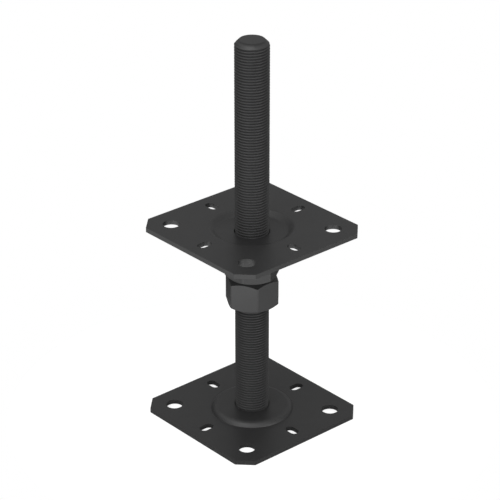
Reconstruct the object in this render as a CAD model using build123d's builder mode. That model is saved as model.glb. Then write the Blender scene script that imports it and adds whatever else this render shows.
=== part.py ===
from build123d import *
import math
import os

# Adjustable post base. Two equal pressed plates sit on one threaded rod. The lower
# plate is welded to the rod and stands on the ground. The upper plate carries the
# post and rests on an adjusting nut, which a lock nut holds from below.
# Sizes are in millimetres, and the origin is on the ground, on the rod's axis.

# The pressed plates
plate_side = 112.8
plate_corner_cut = 10.0
plate_thickness = 3.3
dish_radius = 29.2
press_depth = 3.3
shoulder_radius = 5.0
bolt_hole_diameter = 12.0
bolt_edge_distance = 16.9
slot_length = 10.9
slot_width = 6.6
slot_count = 4
post_plate_height = 147.5

# The threaded rod and its weld
rod_diameter = 24.0
rod_top_height = 284.7
rod_end_chamfer = 3.2
rod_foot_height = 0.6
rod_hole_clearance = 0.5
weld_toe_height = 0.7

# The hexagon nuts
hexagon_sides = 6
nut_wall = 5.0
nut_corner_radius = 1.5
nut_thread_clearance = 0.1
nut_mouth_chamfer = 1.0
nut_face_land = 2.7
nut_chamfer_angle = 30.0
adjusting_nut_length = 30.9
adjusting_nut_turn = 0.0
lock_nut_length = 21.9
lock_nut_turn = 30.0

# Sizes that follow from those above
rod_radius = rod_diameter / 2
rod_hole_radius = rod_radius + rod_hole_clearance
bolt_hole_radius = bolt_hole_diameter / 2
bolt_spacing = plate_side - 2 * bolt_edge_distance
slot_centre_radius = (plate_side / 2 + dish_radius) / 2
shoulder_drop = shoulder_radius - press_depth
shoulder_width = math.sqrt(shoulder_radius**2 - shoulder_drop**2)
shoulder_sweep = math.degrees(math.atan2(shoulder_width, shoulder_drop))
flat_radius = dish_radius - shoulder_width
dome_height = plate_thickness + press_depth
nut_bore_radius = rod_radius + nut_thread_clearance
nut_mouth_radius = nut_bore_radius + nut_mouth_chamfer
nut_face_radius = nut_mouth_radius + nut_face_land
nut_flat_radius = rod_radius + nut_wall
nut_corner_reach = nut_flat_radius / math.cos(math.pi / hexagon_sides)
nut_chamfer_slope = math.tan(math.radians(nut_chamfer_angle))
nut_chamfer_height = (nut_corner_reach - nut_face_radius) * nut_chamfer_slope

# The stack of nuts hangs down from the underside of the post plate's dish.
adjusting_nut_top = post_plate_height - dome_height
adjusting_nut_seat = adjusting_nut_top - adjusting_nut_length
lock_nut_seat = adjusting_nut_seat - lock_nut_length


def hexagon_nut(seat_height, length, turn):
    """Return a hexagon nut whose lower face is at seat_height."""
    with BuildPart() as nut:
        # The hexagon bar, with its six long corners rounded
        with BuildSketch(Plane.XY.offset(seat_height)):
            hexagon = RegularPolygon(
                nut_flat_radius, hexagon_sides, major_radius=False, rotation=turn
            )
            fillet(hexagon.vertices(), radius=nut_corner_radius)
        extrude(amount=length)
        # Both ends are turned to a shallow cone, which leaves a round face on each
        # end and curved upper and lower borders on the six flats.
        top_height = seat_height + length
        with BuildSketch(Plane.XZ):
            with BuildLine():
                Polyline(
                    (0, seat_height),
                    (nut_face_radius, seat_height),
                    (nut_corner_reach, seat_height + nut_chamfer_height),
                    (nut_corner_reach, top_height - nut_chamfer_height),
                    (nut_face_radius, top_height),
                    (0, top_height),
                    close=True,
                )
            make_face()
        revolve(axis=Axis.Z, mode=Mode.INTERSECT)
        # The bore runs on the crests of the rod's thread, and opens out at each end.
        with BuildSketch(Plane.XY.offset(seat_height)):
            Circle(nut_bore_radius)
        extrude(amount=length, mode=Mode.SUBTRACT)
        bore_rims = nut.edges().filter_by(GeomType.CIRCLE).group_by(SortBy.RADIUS)[0]
        chamfer(bore_rims, length=nut_mouth_chamfer)
    return nut.part


# Base plate: a flat square blank with a dome pressed up in its middle.
with BuildPart() as base_plate:
    with BuildSketch():
        blank = Rectangle(plate_side, plate_side)
        chamfer(blank.vertices(), length=plate_corner_cut)
        Circle(dish_radius, mode=Mode.SUBTRACT)
        with GridLocations(bolt_spacing, bolt_spacing, 2, 2):
            Circle(bolt_hole_radius, mode=Mode.SUBTRACT)
        # Each slot points at the rod, midway between the dome and the plate's edge.
        with PolarLocations(slot_centre_radius, slot_count):
            SlotOverall(slot_length, slot_width, mode=Mode.SUBTRACT)
    extrude(amount=plate_thickness)
    # Section through half of the dome. The steel is drawn over the punch to a round
    # shoulder, which meets the flat sheet in a sharp crease. The hollow below has the
    # punch's conical flank.
    with BuildSketch(Plane.XZ):
        with BuildLine():
            shoulder = CenterArc(
                (flat_radius, dome_height - shoulder_radius),
                shoulder_radius,
                90 - shoulder_sweep,
                shoulder_sweep,
            )
            Polyline(
                shoulder @ 1,
                (rod_hole_radius, dome_height),
                (rod_hole_radius, press_depth),
                (flat_radius, press_depth),
                (dish_radius, 0),
                shoulder @ 0,
            )
        make_face()
    revolve(axis=Axis.Z)

# Post plate: the same pressing turned over, so that the dome becomes a dish.
with BuildPart() as post_plate:
    mirror(base_plate.part, about=Plane.XY.offset(post_plate_height / 2))

# Threaded rod: a round bar over the thread's crests. Its foot ends just above the
# ground, in the hollow under the dome.
with BuildPart() as threaded_rod:
    with BuildSketch(Plane.XY.offset(rod_foot_height)):
        Circle(rod_radius)
    extrude(amount=rod_top_height - rod_foot_height)
    rod_rims = threaded_rod.edges().filter_by(GeomType.CIRCLE).sort_by(Axis.Z)
    chamfer(rod_rims[-1], length=rod_end_chamfer)

# Rod weld: a ring of weld in the corner between the rod and the roof of the hollow.
# It bridges the rod's clearance in the plate and stops short of the rod's end.
weld_foot = rod_foot_height + weld_toe_height
weld_leg = press_depth - weld_foot
with BuildPart() as rod_weld:
    with BuildSketch(Plane.XZ):
        with BuildLine():
            Polyline(
                (rod_radius, weld_foot),
                (rod_hole_radius + weld_leg, press_depth),
                (rod_radius, press_depth),
                close=True,
            )
        make_face()
    revolve(axis=Axis.Z)

# Adjusting nut: the long nut that the post plate rests on.
with BuildPart() as adjusting_nut:
    add(hexagon_nut(adjusting_nut_seat, adjusting_nut_length, adjusting_nut_turn))

# Lock nut: the shorter nut, tight against the adjusting nut from below.
with BuildPart() as lock_nut:
    add(hexagon_nut(lock_nut_seat, lock_nut_length, lock_nut_turn))

base_plate.part.label = "base_plate"
post_plate.part.label = "post_plate"
threaded_rod.part.label = "threaded_rod"
rod_weld.part.label = "rod_weld"
adjusting_nut.part.label = "adjusting_nut"
lock_nut.part.label = "lock_nut"

os.makedirs("parts", exist_ok=True)
export_step(base_plate.part, "parts/base_plate.step")
export_step(post_plate.part, "parts/post_plate.step")
export_step(threaded_rod.part, "parts/threaded_rod.step")
export_step(rod_weld.part, "parts/rod_weld.step")
export_step(adjusting_nut.part, "parts/adjusting_nut.step")
export_step(lock_nut.part, "parts/lock_nut.step")
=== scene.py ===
# %% [markdown]
# # An adjustable post base
#
# Two square steel plates sit on one threaded rod. The lower plate is bolted to a
# footing, the upper one carries a timber post, and a long nut under the upper plate
# sets its height. A shorter lock nut holds the long one.
#
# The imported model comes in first. It stays the frame that every piece is fitted to:
# its nodes are never moved, only shown or replaced by a more detailed piece.

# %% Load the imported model
import math

import bmesh
import bpy
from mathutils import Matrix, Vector


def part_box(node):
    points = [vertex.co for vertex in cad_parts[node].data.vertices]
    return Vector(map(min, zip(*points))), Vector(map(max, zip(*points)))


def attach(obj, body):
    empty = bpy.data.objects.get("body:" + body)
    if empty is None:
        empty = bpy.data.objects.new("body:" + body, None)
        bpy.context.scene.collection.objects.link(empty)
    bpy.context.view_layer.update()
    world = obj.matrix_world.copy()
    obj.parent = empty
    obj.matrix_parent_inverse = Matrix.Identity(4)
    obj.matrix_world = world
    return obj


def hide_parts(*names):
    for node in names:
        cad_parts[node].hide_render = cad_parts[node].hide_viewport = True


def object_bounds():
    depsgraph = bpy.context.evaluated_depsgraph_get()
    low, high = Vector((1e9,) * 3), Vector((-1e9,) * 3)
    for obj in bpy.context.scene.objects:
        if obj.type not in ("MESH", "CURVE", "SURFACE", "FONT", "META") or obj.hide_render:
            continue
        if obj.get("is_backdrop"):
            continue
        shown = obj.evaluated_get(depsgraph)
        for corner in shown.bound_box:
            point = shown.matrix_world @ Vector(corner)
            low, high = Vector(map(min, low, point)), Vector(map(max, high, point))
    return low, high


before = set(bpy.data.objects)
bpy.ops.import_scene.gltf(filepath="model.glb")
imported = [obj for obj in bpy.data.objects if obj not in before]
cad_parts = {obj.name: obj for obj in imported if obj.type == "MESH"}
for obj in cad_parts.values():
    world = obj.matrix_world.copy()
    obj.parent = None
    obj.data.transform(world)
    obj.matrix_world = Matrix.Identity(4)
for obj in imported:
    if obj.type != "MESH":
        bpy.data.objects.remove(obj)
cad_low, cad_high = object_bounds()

MM = 0.001
print("size in mm", [round(x / MM, 2) for x in cad_high - cad_low])

# %% [markdown]
# ## Sizes from the frame
#
# The pieces must sit just where the model has them, so heights and main widths are
# read from the nodes' boxes. Blender works in metres and a drawing of such a part in
# millimetres, and MM turns one into the other. Sizes that only one piece has are
# written in millimetres where that piece is made.

# %% Sizes read from the nodes
plate_low, plate_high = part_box("base_plate")
post_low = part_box("post_plate")[0]
rod_low, rod_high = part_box("threaded_rod")

plate_side = (plate_high.x - plate_low.x) / MM
rod_radius = (rod_high.x - rod_low.x) / MM / 2
rod_foot = rod_low.z / MM
rod_top = rod_high.z / MM
print("plate side", round(plate_side, 2), "rod radius", round(rod_radius, 2))
print("rod from", round(rod_foot, 2), "to", round(rod_top, 2))

# %% [markdown]
# ## Helpers for working as by hand
#
# Most steps are the same few moves: start with nothing selected, add a primitive, go
# into edit mode, pick some vertices, edges or faces by where they are, and work on
# them. These helpers only do the selecting and the switching of modes.

# %% Selecting and switching modes
near = 0.01     # mm within which a place counts as the same


def start_clean():
    """Leave edit mode and deselect everything."""
    if bpy.context.object and bpy.context.object.mode != "OBJECT":
        bpy.ops.object.mode_set(mode="OBJECT")
    bpy.ops.object.select_all(action="DESELECT")


def work_on(piece):
    """Select one piece alone and make it the active one."""
    start_clean()
    piece.select_set(True)
    bpy.context.view_layer.objects.active = piece


def pick(piece, kind, test):
    """In edit mode, select the vertices, edges or faces whose middle passes test."""
    bpy.ops.mesh.select_all(action="DESELECT")
    bpy.ops.mesh.select_mode(type=kind)
    mesh = bmesh.from_edit_mesh(piece.data)
    parts = {"VERT": mesh.verts, "EDGE": mesh.edges, "FACE": mesh.faces}[kind]
    for part in parts:
        corners = [part.co] if kind == "VERT" else [v.co for v in part.verts]
        middle = sum(corners, Vector()) / len(corners) / MM
        if test(middle):
            part.select_set(True)
    mesh.select_flush_mode()
    bmesh.update_edit_mesh(piece.data)


def report(piece):
    """Print a finished piece's size and whether it is closed."""
    mesh = bmesh.new()
    mesh.from_mesh(piece.data)
    open_edges = sum(1 for e in mesh.edges if not e.is_manifold)
    triangles = sum(len(f.verts) - 2 for f in mesh.faces)
    volume = mesh.calc_volume(signed=True) / MM**3
    mesh.free()
    print(piece.name, triangles, "triangles", open_edges, "open edges", round(volume), "mm3")


# %% [markdown]
# A turned shape is easiest as half of its section, drawn in the XZ plane and spun
# round Z. The section is one vertex extruded from point to point. Where the section
# starts and ends on the axis, merging by distance closes the poles.

# %% Drawing a section and spinning it
merge_distance = 0.002      # mm, far less than any edge of a section


def draw_section(name, points):
    """Draw an open line through (radius, height) points in mm by extruding a vertex."""
    start_clean()
    bpy.ops.mesh.primitive_plane_add(size=MM, location=(0, 0, 0))
    piece = bpy.context.object
    piece.name = name
    bpy.ops.object.mode_set(mode="EDIT")
    bpy.ops.mesh.select_mode(type="VERT")
    bpy.ops.mesh.select_all(action="SELECT")
    bpy.ops.mesh.merge(type="CENTER")
    here = Vector((points[0][0] * MM, 0, points[0][1] * MM))
    bpy.ops.transform.translate(value=here)
    for radius, height in points[1:]:
        there = Vector((radius * MM, 0, height * MM))
        bpy.ops.mesh.extrude_region_move(TRANSFORM_OT_translate={"value": there - here})
        here = there
    return piece


def spin_section(piece, steps):
    """Spin the drawn section once round Z and close it."""
    bpy.ops.mesh.select_all(action="SELECT")
    bpy.ops.mesh.spin(steps=steps, angle=2 * math.pi, center=(0, 0, 0), axis=(0, 0, 1))
    bpy.ops.mesh.select_all(action="SELECT")
    bpy.ops.mesh.remove_doubles(threshold=merge_distance * MM)
    bpy.ops.mesh.normals_make_consistent(inside=False)
    bpy.ops.object.mode_set(mode="OBJECT")
    return piece


def arc_points(centre, radius, first, last, steps):
    """Points along an arc in the section, angles in degrees from the radial axis."""
    turns = [math.radians(first + (last - first) * i / steps) for i in range(steps + 1)]
    return [(centre[0] + radius * math.cos(t), centre[1] + radius * math.sin(t)) for t in turns]


# %% [markdown]
# Drilling, tapping and turning take material away, and the Boolean modifier does the
# same. With UNION it joins two pieces, with INTERSECT it keeps what both share. The
# manifold solver is fast and gives closed pieces from closed pieces. The tool is
# deleted once it has cut.

# %% Cutting one piece with another
def cut_with(piece, tool, operation="DIFFERENCE"):
    """Apply a Boolean modifier to piece and throw the tool away."""
    work_on(piece)
    bpy.ops.object.modifier_add(type="BOOLEAN")
    boolean = piece.modifiers[-1]
    boolean.operation = operation
    boolean.solver = "MANIFOLD"
    boolean.object = tool
    bpy.ops.object.modifier_apply(modifier=boolean.name)
    bpy.data.objects.remove(tool)


# %% [markdown]
# No real edge is perfectly sharp, and a thick coat rounds it further. The Bevel
# modifier rounds only the edges that are sharper than its angle, so the round walls
# stay as they are. Smooth shading then hides the facets, and weighted normals keep the
# large flat faces flat right up to their rounded edges.

# %% Breaking edges and shading smooth
sharp_angle = 28        # degrees, above which an edge is rounded


def break_edges(piece, width):
    """Round every sharp edge a little, as a coat of paint does."""
    work_on(piece)
    bpy.ops.object.modifier_add(type="BEVEL")
    bevel = piece.modifiers[-1]
    bevel.width = width * MM
    bevel.segments = 2
    bevel.limit_method = "ANGLE"
    bevel.angle_limit = math.radians(sharp_angle)
    bevel.use_clamp_overlap = True
    bpy.ops.object.modifier_apply(modifier=bevel.name)


def smooth(piece, angle):
    """Shade a finished piece smooth, except over edges sharper than angle."""
    work_on(piece)
    bpy.ops.object.shade_smooth_by_angle(angle=math.radians(angle))
    bpy.ops.object.modifier_add(type="WEIGHTED_NORMAL")
    weights = piece.modifiers[-1]
    weights.keep_sharp = True
    bpy.ops.object.modifier_apply(modifier=weights.name)
    start_clean()


# %% [markdown]
# ## The camera
#
# A product is photographed with a long lens from well back, so that its vertical
# lines stay straight. The camera looks down at the post base from its front corner. It
# is placed by two angles and a distance from the point it looks at, because these are
# easier to read and to change than a position and a rotation.

# %% Camera
camera_azimuth = 48.70
camera_elevation = 26.69
camera_distance = 1.4711
look_at = Vector((0, 0, 0.12866))

turn = math.radians(camera_azimuth)
tilt = math.radians(camera_elevation)
back = Vector((math.sin(turn) * math.cos(tilt), -math.cos(turn) * math.cos(tilt), math.sin(tilt)))
start_clean()
bpy.ops.object.camera_add(location=look_at + back * camera_distance)
camera = bpy.context.object
camera.name = "camera"
camera.rotation_euler = back.to_track_quat("Z", "Y").to_euler()
camera.data.sensor_width = 36
camera.data.lens = 153.0
camera.data.shift_x = -0.0041
camera.data.shift_y = 0.0015
camera.data.clip_start = 0.05
camera.data.clip_end = 30
bpy.context.scene.camera = camera
print("camera at", [round(x, 4) for x in camera.location])

# %% [markdown]
# ## The pressed plates
#
# Both plates are the same pressing: a square blank with cut corners, a round dome
# drawn up in its middle, four round holes and four slots. The upper plate is the same
# pressing turned over, so that its dome becomes a dish.
#
# The blank is a thin box. The dome is spun from its section and joined to the blank,
# then the punch's shape is taken out from below. Making the dome as a turned shape
# keeps its shoulder truly round, which a subdivided grid would not.

# %% The blank
plate_thickness = 3.3
plate_corner_cut = 10.0


def make_blank(name):
    """A square sheet with its four corners cut off, lying on the ground."""
    start_clean()
    bpy.ops.mesh.primitive_cube_add(size=1, location=(0, 0, plate_thickness / 2 * MM))
    blank = bpy.context.object
    blank.name = name
    bpy.ops.object.mode_set(mode="EDIT")
    bpy.ops.transform.resize(value=(plate_side * MM, plate_side * MM, plate_thickness * MM))
    half = plate_side / 2
    pick(blank, "EDGE", lambda m: abs(abs(m.x) - half) < near and abs(abs(m.y) - half) < near)
    bpy.ops.mesh.bevel(offset=plate_corner_cut * MM, offset_type="OFFSET", segments=1, affect="EDGES")
    bpy.ops.object.mode_set(mode="OBJECT")
    bpy.ops.object.transform_apply(location=True, rotation=True, scale=True)
    return blank


# %% [markdown]
# The dome's outside is a flat top with a round shoulder, which meets the sheet in a
# crease. The hollow is rounder, because the punch pushed there: a soft lip where it
# enters, a straight flank, and a round corner at its floor.

# %% Sizes of the dome and the hollow
press_depth = 3.3
dish_radius = 29.2
shoulder_radius = 5.0
lip_radius = 3.3
floor_radius = 5.0
dome_steps = 128        # round the axis
shoulder_steps = 10     # along each arc of the sections
lip_steps = 6
corner_steps = 8

shoulder_drop = shoulder_radius - press_depth
shoulder_width = math.sqrt(shoulder_radius**2 - shoulder_drop**2)
shoulder_sweep = math.degrees(math.atan2(shoulder_width, shoulder_drop))
flat_radius = dish_radius - shoulder_width
dome_height = plate_thickness + press_depth
shoulder_centre = (flat_radius, dome_height - shoulder_radius)
print("dome height", round(dome_height, 2), "flat radius", round(flat_radius, 2))


# %% The dome and the punch
dome_overlap = 0.3      # how far the dome's foot reaches into the sheet
punch_overhang = 2.0    # how far the punch stands out below the sheet


def make_dome():
    """The outside of the dome, rooted halfway down in the sheet."""
    shoulder = arc_points(shoulder_centre, shoulder_radius, 90, 90 - shoulder_sweep, shoulder_steps)
    foot = (dish_radius + dome_overlap, plate_thickness / 2)
    line = [(0, dome_height), *shoulder, foot, (0, plate_thickness / 2)]
    return spin_section(draw_section("dome", line), dome_steps)


def make_punch():
    """What the punch takes out below: a round lip, a straight flank and a round corner."""
    flank_angle = math.degrees(math.atan2(press_depth, dish_radius - flat_radius))
    bend = math.tan(math.radians(flank_angle / 2))
    lip_start = dish_radius + lip_radius * bend
    lip = arc_points((lip_start, lip_radius), lip_radius, 270, 270 - flank_angle, lip_steps)
    floor_start = flat_radius - floor_radius * bend
    corner_centre = (floor_start, press_depth - floor_radius)
    corner = arc_points(corner_centre, floor_radius, 90 - flank_angle, 90, corner_steps)
    line = [
        (0, -punch_overhang), (lip_start + punch_overhang, -punch_overhang), (lip_start, 0),
        *lip[1:], *corner, (0, press_depth),
    ]
    return spin_section(draw_section("punch", line), dome_steps)


# %% [markdown]
# The holes are cut with drills: plain cylinders for the rod and the bolts, and for
# the slots a cylinder stretched along its run. One drill is modelled for each kind of
# hole and copied to its places.

# %% Drills for the holes
drill_length = 20.0
drill_end = drill_length / 2


def make_drill(radius, run, steps):
    """A round drill, or with a run a slot cutter lying along X."""
    start_clean()
    bpy.ops.mesh.primitive_cylinder_add(
        vertices=steps, radius=radius * MM, depth=drill_length * MM, location=(0, 0, 0)
    )
    drill = bpy.context.object
    if run:
        bpy.ops.object.mode_set(mode="EDIT")
        pick(drill, "FACE", lambda m: abs(abs(m.z) - drill_end) < near)
        bpy.ops.mesh.delete(type="ONLY_FACE")
        pick(drill, "VERT", lambda m: m.x > near)
        bpy.ops.transform.translate(value=(run * MM, 0, 0))
        pick(drill, "VERT", lambda m: m.x < -near)
        bpy.ops.transform.translate(value=(-run * MM, 0, 0))
        pick(drill, "EDGE", lambda m: abs(abs(m.z) - drill_end) < near)
        bpy.ops.mesh.edge_face_add()
        bpy.ops.mesh.select_all(action="SELECT")
        bpy.ops.mesh.normals_make_consistent(inside=False)
        bpy.ops.object.mode_set(mode="OBJECT")
    return drill


def drill_at(plate, drill, places, quarter_turns=None):
    """Copy the drill to each place, cut with the copies, and throw the drill away."""
    for number, (x, y) in enumerate(places):
        copy = drill.copy()
        copy.data = drill.data.copy()
        bpy.context.scene.collection.objects.link(copy)
        if quarter_turns:
            copy.rotation_euler.z = quarter_turns[number] * math.pi / 2
        copy.location = (x * MM, y * MM, 0)
        cut_with(plate, copy)
    bpy.data.objects.remove(drill)


# %% Press one plate
rod_hole_radius = 12.5
bolt_hole_radius = 6.0
bolt_edge_distance = 16.9
bolt_offset = plate_side / 2 - bolt_edge_distance
slot_radius = 3.3
slot_half_run = 2.15
slot_offset = 42.8
rod_hole_steps, bolt_hole_steps, slot_steps = 96, 64, 48
plate_edge_break = 0.22


def press_plate(name):
    """The whole pressing, dome upwards."""
    plate = make_blank(name)
    cut_with(plate, make_dome(), "UNION")
    cut_with(plate, make_punch())
    drill_at(plate, make_drill(rod_hole_radius, 0, rod_hole_steps), [(0, 0)])
    corners = [(sx * bolt_offset, sy * bolt_offset) for sx in (-1, 1) for sy in (-1, 1)]
    drill_at(plate, make_drill(bolt_hole_radius, 0, bolt_hole_steps), corners)
    sides = [(slot_offset, 0), (0, slot_offset), (-slot_offset, 0), (0, -slot_offset)]
    cutter = make_drill(slot_radius, slot_half_run, slot_steps)
    drill_at(plate, cutter, sides, [0, 1, 0, 1])
    break_edges(plate, plate_edge_break)
    return plate


base_plate = press_plate("base_plate_pressed")
report(base_plate)

# %% [markdown]
# The post plate is a copy of the finished base plate. It is mirrored in edit mode and
# not turned as an object, because a finished piece's place belongs in its mesh. A
# mirror turns the faces inside out, so their normals are made consistent again.

# %% The post plate is a copy, turned over
work_on(base_plate)
bpy.ops.object.duplicate()
post_plate = bpy.context.object
post_plate.name = "post_plate_pressed"
bpy.ops.object.mode_set(mode="EDIT")
bpy.ops.mesh.select_all(action="SELECT")
bpy.ops.transform.mirror(constraint_axis=(False, False, True), orient_type="GLOBAL")
bpy.ops.mesh.normals_make_consistent(inside=False)
bpy.ops.object.mode_set(mode="OBJECT")
lowest = min(v.co.z for v in post_plate.data.vertices)
bpy.ops.object.mode_set(mode="EDIT")
bpy.ops.transform.translate(value=(0, 0, post_low.z - lowest))
bpy.ops.object.mode_set(mode="OBJECT")
report(post_plate)
plate_smooth_angle = 35
smooth(base_plate, plate_smooth_angle)
smooth(post_plate, plate_smooth_angle)
heights = [v.co.z / MM for v in post_plate.data.vertices]
print("post plate from", round(min(heights), 2), "to", round(max(heights), 2))

# %% [markdown]
# ## The thread
#
# The rod has a fine right-hand thread, one turn every 2 mm. A bump in its material
# could draw the lines, but not the small teeth on the rod's outline, so the thread is
# real. It is a single groove that climbs as it turns, and the Screw modifier makes
# just that: it sweeps the outline of one turn up the axis. The rod is then turned to
# length with a chamfered bar, so that the thread runs out on the chamfer as a cut
# thread does.

# %% The outline of one turn
thread_pitch = 2.0
thread_root_radius = 10.8
root_edge = 0.84        # half pitches from the crest's middle
flank_run = 0.62        # half pitches
crest_edge = 0.11       # half pitches from the crest's middle
root_round = 0.06       # mm above the root where the flank starts
crest_round = 0.10      # mm below the crest where the flank ends
crest_wear = 0.01       # mm by which the crests are worn down


def thread_outline(crest, root):
    """One turn from root to root, as (radius, half pitches) with softened corners."""
    rising = [
        (root, -1.0), (root + root_round, -root_edge),
        (crest - crest_round, flank_run - root_edge), (crest - crest_wear, -crest_edge),
    ]
    return rising + [(radius, -height) for radius, height in reversed(rising)]


# %% Sweep the outline up the axis
steps_per_turn = 56
thread_overrun = 0.7            # mm of thread past each end, to be cut off later
thread_merge_distance = 0.004   # mm, joins each turn to the next
end_cut_tolerance = 0.0005      # mm


def make_thread(name, crest, root, low, high):
    """A closed threaded bar, a little longer than from low to high."""
    first = math.floor(low / thread_pitch) - 1
    turns = math.ceil(high / thread_pitch) + 2 - first
    start = first * thread_pitch
    outline = thread_outline(crest, root)
    thread = draw_section(name, [(r, start + z * thread_pitch / 2) for r, z in outline])
    bpy.ops.object.mode_set(mode="OBJECT")
    bpy.ops.object.modifier_add(type="SCREW")
    sweep = thread.modifiers[-1]
    sweep.axis = "Z"
    sweep.angle = 2 * math.pi
    sweep.screw_offset = thread_pitch * MM
    sweep.iterations = turns
    sweep.steps = steps_per_turn
    sweep.render_steps = steps_per_turn
    bpy.ops.object.modifier_apply(modifier=sweep.name)
    bpy.ops.object.mode_set(mode="EDIT")
    bpy.ops.mesh.select_all(action="SELECT")
    bpy.ops.mesh.remove_doubles(threshold=thread_merge_distance * MM)
    for height, above in ((low - thread_overrun, False), (high + thread_overrun, True)):
        bpy.ops.mesh.select_all(action="SELECT")
        bpy.ops.mesh.bisect(
            plane_co=(0, 0, height * MM), plane_no=(0, 0, 1), use_fill=True,
            clear_outer=above, clear_inner=not above, threshold=end_cut_tolerance * MM,
        )
    bpy.ops.mesh.select_all(action="SELECT")
    bpy.ops.mesh.normals_make_consistent(inside=False)
    bpy.ops.object.mode_set(mode="OBJECT")
    return thread


# %% A chamfered bar to turn the rod with
bar_steps = 112


def make_bar(radius, low, high, chamfer):
    """A round bar with a 45 degree chamfer at its top."""
    start_clean()
    middle = (low + high) / 2
    bpy.ops.mesh.primitive_cylinder_add(
        vertices=bar_steps, radius=radius * MM, depth=(high - low) * MM, location=(0, 0, middle * MM)
    )
    bar = bpy.context.object
    bar.name = "bar"
    bpy.ops.object.transform_apply(location=True)
    bpy.ops.object.mode_set(mode="EDIT")
    pick(bar, "FACE", lambda m: m.z > high - near)
    bpy.ops.mesh.region_to_loop()
    bpy.ops.mesh.bevel(offset=chamfer * MM, offset_type="OFFSET", segments=1, affect="EDGES")
    bpy.ops.object.mode_set(mode="OBJECT")
    return bar


# %% The threaded rod
rod_end_chamfer = 3.2
bar_stock = 0.5         # mm by which the bar is thicker than the crests
rod_smooth_angle = 50

threaded_rod = make_thread("threaded_rod_cut", rod_radius, thread_root_radius, rod_foot, rod_top)
bar = make_bar(rod_radius + bar_stock, rod_foot, rod_top, rod_end_chamfer + bar_stock)
cut_with(threaded_rod, bar, "INTERSECT")
report(threaded_rod)
smooth(threaded_rod, rod_smooth_angle)

# %% [markdown]
# ## The nuts
#
# Each nut starts as a piece of six-sided bar. The curved borders of its flats could be
# drawn, but they come out right by themselves when the ends are turned to a shallow
# cone, as on a lathe. The bore is then tapped with the same thread as the rod, a tenth
# of a millimetre larger, so the nut shows a true thread wherever it is looked into.

# %% Turn a nut from six-sided bar
nut_flat_radius = 17.0
nut_corner_radius = 1.5
nut_face_radius = 15.8
nut_chamfer_angle = 30
nut_edge_break = 0.3
nut_steps = 120
corner_segments = 5
turning_overhang = 1.0      # how far the turning tool reaches past the corners
half_side = math.pi / 6     # half the angle that one flat takes up


def make_nut(name, low, high, corner_angle):
    """A hexagon nut between two heights, with one corner at corner_angle degrees."""
    corner_reach = nut_flat_radius / math.cos(half_side)
    middle = (low + high) / 2
    start_clean()
    bpy.ops.mesh.primitive_cylinder_add(
        vertices=6, radius=corner_reach * MM, depth=(high - low) * MM, location=(0, 0, middle * MM)
    )
    nut = bpy.context.object
    nut.name = name
    nut.rotation_euler.z = math.radians(corner_angle - 90)
    bpy.ops.object.transform_apply(location=True, rotation=True)
    bpy.ops.object.mode_set(mode="EDIT")
    pick(nut, "EDGE", lambda m: abs(m.z - middle) < near)
    corner_setback = nut_corner_radius * math.tan(half_side)
    bpy.ops.mesh.bevel(
        offset=corner_setback * MM, offset_type="OFFSET", segments=corner_segments, affect="EDGES"
    )
    bpy.ops.object.mode_set(mode="OBJECT")
    reach = corner_reach + turning_overhang
    rise = (reach - nut_face_radius) * math.tan(math.radians(nut_chamfer_angle))
    turned = [
        (0, low), (nut_face_radius, low), (reach, low + rise),
        (reach, high - rise), (nut_face_radius, high), (0, high),
    ]
    turning = spin_section(draw_section("turning", turned), nut_steps)
    cut_with(nut, turning, "INTERSECT")
    break_edges(nut, nut_edge_break)
    return nut


# %% Open the mouths and tap the bore
nut_mouth_radius = 13.1
mouth_overhang = 1.0        # how far the countersink stands out of the nut
mouth_steps = 96
tap_crest_clearance = 0.1
tap_root_clearance = 0.12


def tap_nut(nut, low, high):
    """Open the nut's mouths and cut its thread."""
    mouth = nut_mouth_radius - thread_root_radius
    for height, inwards in ((low, 1), (high, -1)):
        outer, inner = height - inwards * mouth_overhang, height + inwards * mouth
        cone = [
            (0, outer), (nut_mouth_radius + mouth_overhang, outer),
            (thread_root_radius, inner), (0, inner),
        ]
        cut_with(nut, spin_section(draw_section("countersink", cone), mouth_steps))
    tap_crest = rod_radius + tap_crest_clearance
    tap_root = thread_root_radius + tap_root_clearance
    cut_with(nut, make_thread("tap", tap_crest, tap_root, low, high))


# %% Both nuts
# The lock nut is turned by half a side against the adjusting nut.
nut_smooth_angle = 40
nuts = {}
for node, corner_angle in (("adjusting_nut", 0), ("lock_nut", 90)):
    nut_low, nut_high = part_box(node)
    nut = make_nut(node + "_tapped", nut_low.z / MM, nut_high.z / MM, corner_angle)
    tap_nut(nut, nut_low.z / MM, nut_high.z / MM)
    report(nut)
    smooth(nut, nut_smooth_angle)
    nuts[node] = nut

# %% [markdown]
# ## The black powder coat
#
# Powder coat is sprayed on as dry powder and baked, so it flows into a skin with a
# very fine grain. It is nearly black, and most of what we see is the soft, blurred
# reflection of the studio. A fine noise raises the surface a little and varies the
# gloss, and the same group serves every steel piece. The same noise also paints shade
# into the colour, darker in the grain's valleys and lighter on its tops. The noise reads
# Object coordinates, so the grain is as large on a nut as on a plate and moves with each.

# %% The sockets of the grain group
powder_grain_and_shade = bpy.data.node_groups.new("powder_grain_and_shade", "ShaderNodeTree")
face = powder_grain_and_shade.interface
face.new_socket(name="Colour", in_out="INPUT", socket_type="NodeSocketColor")
for name in ("Grain fineness", "Grain height", "Gloss from", "Gloss to"):
    face.new_socket(name=name, in_out="INPUT", socket_type="NodeSocketFloat")
face.new_socket(name="Colour", in_out="OUTPUT", socket_type="NodeSocketColor")
face.new_socket(name="Roughness", in_out="OUTPUT", socket_type="NodeSocketFloat")
face.new_socket(name="Normal", in_out="OUTPUT", socket_type="NodeSocketVector")


# %% The noise inside the grain group
noise_low = 0.3         # noise seldom leaves the range from low to high
noise_high = 0.7
painted_valley_shade = 0.86       # painted shade in the grain's valleys and painted light on its tops, as factors on the colour
painted_top_light = 1.14
bump_distance = 0.02    # mm that a full grain height stands for


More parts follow.
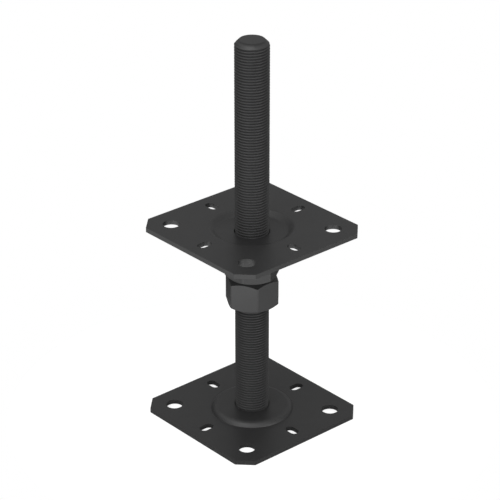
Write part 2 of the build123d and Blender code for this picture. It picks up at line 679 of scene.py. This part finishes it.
def fill_grain_group():
    """Fine grain: a colour with painted shade in its valleys and painted light on its tops, a
    roughness and a normal, all from noise in object space.
    """
    nodes, links = powder_grain_and_shade.nodes, powder_grain_and_shade.links
    inputs = nodes.new("NodeGroupInput")
    outputs = nodes.new("NodeGroupOutput")
    place = nodes.new("ShaderNodeTexCoord")
    grain = nodes.new("ShaderNodeTexNoise")
    grain.inputs["Detail"].default_value = 3
    grain.inputs["Roughness"].default_value = 0.55
    cloud = nodes.new("ShaderNodeTexNoise")
    cloud.inputs["Scale"].default_value = 60
    cloud.inputs["Detail"].default_value = 2
    links.new(place.outputs["Object"], grain.inputs["Vector"])
    links.new(place.outputs["Object"], cloud.inputs["Vector"])
    links.new(inputs.outputs["Grain fineness"], grain.inputs["Scale"])
    # Painted shade and light: the colour is darkened where the grain is low and lightened where it is
    # high.
    shade = nodes.new("ShaderNodeMapRange")
    shade.inputs["From Min"].default_value = noise_low
    shade.inputs["From Max"].default_value = noise_high
    shade.inputs["To Min"].default_value = painted_valley_shade
    shade.inputs["To Max"].default_value = painted_top_light
    links.new(grain.outputs["Fac"], shade.inputs["Value"])
    grain_shaded_colour = nodes.new("ShaderNodeVectorMath")
    grain_shaded_colour.operation = "SCALE"
    links.new(inputs.outputs["Colour"], grain_shaded_colour.inputs[0])
    links.new(shade.outputs["Result"], grain_shaded_colour.inputs["Scale"])
    links.new(grain_shaded_colour.outputs["Vector"], outputs.inputs["Colour"])
    gloss = nodes.new("ShaderNodeMapRange")
    gloss.inputs["From Min"].default_value = noise_low
    gloss.inputs["From Max"].default_value = noise_high
    links.new(cloud.outputs["Fac"], gloss.inputs["Value"])
    links.new(inputs.outputs["Gloss from"], gloss.inputs["To Min"])
    links.new(inputs.outputs["Gloss to"], gloss.inputs["To Max"])
    links.new(gloss.outputs["Result"], outputs.inputs["Roughness"])
    bump = nodes.new("ShaderNodeBump")
    bump.inputs["Distance"].default_value = bump_distance * MM
    links.new(inputs.outputs["Grain height"], bump.inputs["Strength"])
    links.new(grain.outputs["Fac"], bump.inputs["Height"])
    links.new(bump.outputs["Normal"], outputs.inputs["Normal"])


fill_grain_group()
print("grain group with", len(powder_grain_and_shade.nodes), "nodes")

# %% [markdown]
# The grain stands out a little more on the flat plates than on the nuts and least on
# the thread, so each kind of piece has its own material with its own grain height.
# What is the same all over is set on the shader's own sockets.

# %% A coat for each kind of piece
coat_black = (0.018, 0.018, 0.0182)
grain_fineness = 1500
gloss_from = 0.40
gloss_to = 0.46


def make_coat(name, grain_height):
    """A black coat with the shared grain and its painted shade, the grain raised by its own height.
    """
    material = bpy.data.materials.new(name)
    material.use_nodes = True
    nodes, links = material.node_tree.nodes, material.node_tree.links
    shader = nodes["Principled BSDF"]
    shader.inputs["Metallic"].default_value = 0.0
    shader.inputs["IOR"].default_value = 1.5
    shader.inputs["Specular IOR Level"].default_value = 0.5
    coat = nodes.new("ShaderNodeGroup")
    coat.node_tree = powder_grain_and_shade
    coat.inputs["Colour"].default_value = (*coat_black, 1)
    coat.inputs["Grain fineness"].default_value = grain_fineness
    coat.inputs["Grain height"].default_value = grain_height
    coat.inputs["Gloss from"].default_value = gloss_from
    coat.inputs["Gloss to"].default_value = gloss_to
    links.new(coat.outputs["Colour"], shader.inputs["Base Color"])
    links.new(coat.outputs["Roughness"], shader.inputs["Roughness"])
    links.new(coat.outputs["Normal"], shader.inputs["Normal"])
    material.diffuse_color = (*coat_black, 1)
    return material


plate_coat = make_coat("black_plate_coat", 0.35)
rod_coat = make_coat("black_rod_coat", 0.25)
nut_coat = make_coat("black_nut_coat", 0.30)


# %% Paint every piece
def paint(piece, material):
    """Give a piece one material."""
    piece.data.materials.clear()
    piece.data.materials.append(material)


paint(base_plate, plate_coat)
paint(post_plate, plate_coat)
paint(threaded_rod, rod_coat)
paint(nuts["adjusting_nut"], nut_coat)
paint(nuts["lock_nut"], nut_coat)
paint(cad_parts["rod_weld"], plate_coat)
print("coats", plate_coat.name, rod_coat.name, nut_coat.name)

# %% [markdown]
# ## Fitting the pieces to the frame
#
# Each detailed piece takes the place of its node and rides on the node's body, so the
# upper plate and the nuts move up and down the rod as they do in the model. The rod's
# weld is right as the model has it, so its node stays and only gets the coat.

# %% Let each piece ride on its body
for piece, node, body, slot in (
    (base_plate, "base_plate", "foot", "coated_plate"),
    (threaded_rod, "threaded_rod", "foot", "coated_rod"),
    (post_plate, "post_plate", "head", "coated_plate"),
    (nuts["adjusting_nut"], "adjusting_nut", "adjuster", "coated_nut"),
    (nuts["lock_nut"], "lock_nut", "locker", "coated_nut"),
):
    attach(piece, body)
    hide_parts(node)
    print(piece.name, "rides on", body)

# %% [markdown]
# ## Floor and light
#
# The post base stands on a pale table in a studio with soft windows all round. Most
# of the light comes from the front, and part of it from below the table's height,
# which is why the upper plate's edge is brighter than the lower plate's. Black paint
# shows its room more than its own colour, so the room is dark where the rod's sides
# stay dark. The camera sees the table and the room as white.
#
# The table is a small disc, so that the low light gets past its edge to the upper
# plate and the nuts. It lies a hair under the ground, because two faces in one plane
# flicker.

# %% Table
table_radius = 175.0
table_drop = 0.2
table_colour = (0.42, 0.42, 0.42, 1)
table_glow = 0.72       # added where the camera sees the table, so that it is white
plain_white = (1, 1, 1, 1)

start_clean()
bpy.ops.mesh.primitive_circle_add(
    vertices=96, radius=table_radius * MM, fill_type="NGON", location=(0, 0, -table_drop * MM)
)
floor = bpy.context.object
floor.name = "studio_floor"

# %% The table's paint
floor_paint = bpy.data.materials.new("floor_paint")
floor_paint.use_nodes = True
nodes, links = floor_paint.node_tree.nodes, floor_paint.node_tree.links
nodes.remove(nodes["Principled BSDF"])
matt = nodes.new("ShaderNodeBsdfDiffuse")
matt.inputs["Color"].default_value = table_colour
glow = nodes.new("ShaderNodeEmission")
glow.inputs["Color"].default_value = plain_white
glow.inputs["Strength"].default_value = table_glow
both = nodes.new("ShaderNodeAddShader")
seen = nodes.new("ShaderNodeLightPath")
which = nodes.new("ShaderNodeMixShader")
links.new(matt.outputs["BSDF"], both.inputs[0])
links.new(glow.outputs["Emission"], both.inputs[1])
links.new(seen.outputs["Is Camera Ray"], which.inputs["Fac"])
links.new(matt.outputs["BSDF"], which.inputs[1])
links.new(both.outputs["Shader"], which.inputs[2])
links.new(which.outputs["Shader"], nodes["Material Output"].inputs["Surface"])
paint(floor, floor_paint)
floor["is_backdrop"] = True
print("table of radius", table_radius, "mm")

# %% [markdown]
# The windows are drawn in the world's own nodes. Lamps could stand in their place, but
# a lamp has an edge that shows in the gloss, and light from a soft window fades out
# evenly. Each one is brightest in its own direction: the cosine of the angle to it
# goes into a power, which falls off smoothly all round.

# %% Soft windows
# Degrees round from the camera's side, degrees above the table's height, and strength
soft_windows = (
    (-90, -25, 1.0),
    (-45, -25, 0.9),
    (-20, -25, 1.2),
    (45, -25, 0.6),
    (-45, 0, 1.5),
    (0, 0, 0.6),
    (45, 0, 3.3),
    (90, 0, 0.4),
    (0, 25, 0.4),
    (-25, 30, 0.8),
    (-30, 60, 1.9),
    (0, 80, 1.1),
    (140, 5, 0.3),
    (180, 10, 0.28),
    (-120, 50, 0.8),
    (120, 50, 0.6),
    (180, 50, 0.15),
)
window_narrowness = 9
print(len(soft_windows), "soft windows")

# %% The room
world = bpy.data.worlds.new("studio_room")
bpy.context.scene.world = world
world.use_nodes = True
nodes, links = world.node_tree.nodes, world.node_tree.links
nodes.clear()
direction = nodes.new("ShaderNodeTexCoord")


def calculate(operation, first, second):
    """A Math node of the room, whose inputs are sockets or plain numbers."""
    node = nodes.new("ShaderNodeMath")
    node.operation = operation
    for socket, value in zip(node.inputs, (first, second)):
        if isinstance(value, bpy.types.NodeSocket):
            links.new(value, socket)
        else:
            socket.default_value = value
    return node.outputs["Value"]


room = None
for azimuth, elevation, strength in soft_windows:
    around, up = math.radians(camera_azimuth + azimuth), math.radians(elevation)
    middle = (math.sin(around) * math.cos(up), -math.cos(around) * math.cos(up), math.sin(up))
    facing = nodes.new("ShaderNodeVectorMath")
    facing.operation = "DOT_PRODUCT"
    facing.inputs[1].default_value = middle
    links.new(direction.outputs["Generated"], facing.inputs[0])
    off_centre = calculate("SUBTRACT", facing.outputs["Value"], 1.0)
    falloff = calculate("POWER", math.exp(window_narrowness), off_centre)
    window = calculate("MULTIPLY", falloff, strength)
    room = window if room is None else calculate("ADD", room, window)
print("room of", len(nodes), "nodes")

# %% [markdown]
# A product picture has a plain white background. The room is white only to rays that
# come straight from the camera or through glass. All other rays see the windows, so
# the white puts no light on the black coat.

# %% White where the camera looks past the object
seen = nodes.new("ShaderNodeLightPath")
light = nodes.new("ShaderNodeBackground")
light.inputs["Color"].default_value = plain_white
links.new(room, light.inputs["Strength"])
white = nodes.new("ShaderNodeBackground")
white.inputs["Color"].default_value = plain_white
white.inputs["Strength"].default_value = 1.0
either = calculate("MAXIMUM", seen.outputs["Is Camera Ray"], seen.outputs["Is Transmission Ray"])
which = nodes.new("ShaderNodeMixShader")
output = nodes.new("ShaderNodeOutputWorld")
links.new(either, which.inputs["Fac"])
links.new(light.outputs["Background"], which.inputs[1])
links.new(white.outputs["Background"], which.inputs[2])
links.new(which.outputs["Shader"], output.inputs["Surface"])

# %% [markdown]
# ## Last checks
#
# The view transform is Standard, so that colours come out as written. How far the
# finished pieces reach past the frame's box on each side is printed in mm.

# %% Finish
bpy.context.scene.view_settings.view_transform = "Standard"
seen_low, seen_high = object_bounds()
grown = [*(cad_low - seen_low), *(seen_high - cad_high)]
print("grown in mm", [round(x / MM, 3) for x in grown])
